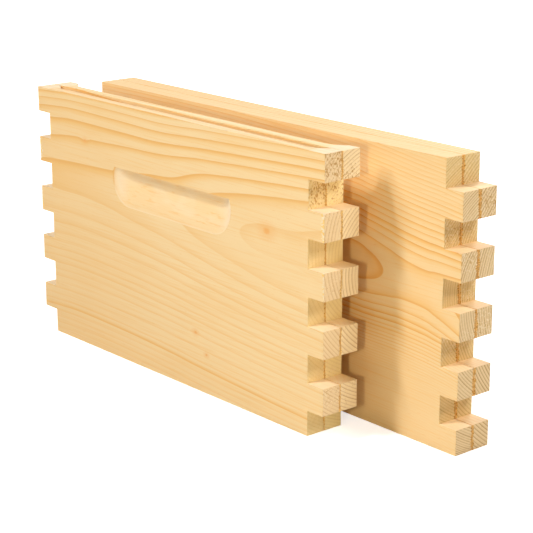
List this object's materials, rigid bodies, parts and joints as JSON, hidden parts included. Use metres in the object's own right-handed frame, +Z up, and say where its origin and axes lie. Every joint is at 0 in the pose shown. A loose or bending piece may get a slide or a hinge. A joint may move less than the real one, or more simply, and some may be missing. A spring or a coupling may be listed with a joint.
{
  "type": "knocked-down beehive body",
  "caption": "Knocked-down deep beehive body: bare planed pine end and side boards with box-joint fingers, frame-rest rabbets and scooped hand-holds, standing loose on edge.",
  "frame": {"origin": "centre of the stack's footprint, on the surface it stands on", "axes": "+X along the boards towards the end where the side boards stand out, +Y from the front end board to the rear side board, +Z up"},
  "size_m": [0.5048, 0.1006, 0.2445],
  "materials": {
    "pale_pine": "bare planed pine, pale yellow, matt",
    "warm_pine": "bare planed pine, warmer yellow, matt"
  },
  "bodies": {
    "rear_side_board": {"rear_side_board": "warm_pine"},
    "front_side_board": {"front_side_board": "warm_pine"},
    "rear_end_board": {"rear_end_board": "pale_pine"},
    "front_end_board": {"front_end_board": "pale_pine"}
  },
  "joints": [
    {"name": "front_end_board_lift", "type": "slide", "parent": "rear_side_board", "child": "front_end_board", "axis": [0, 0, 1], "range_m": [0, 0.26]},
    {"name": "rear_end_board_lift", "type": "slide", "parent": "rear_side_board", "child": "rear_end_board", "axis": [0, 0, 1], "range_m": [0, 0.26]},
    {"name": "front_side_board_lift", "type": "slide", "parent": "rear_side_board", "child": "front_side_board", "axis": [0, 0, 1], "range_m": [0, 0.26]}
  ]
}
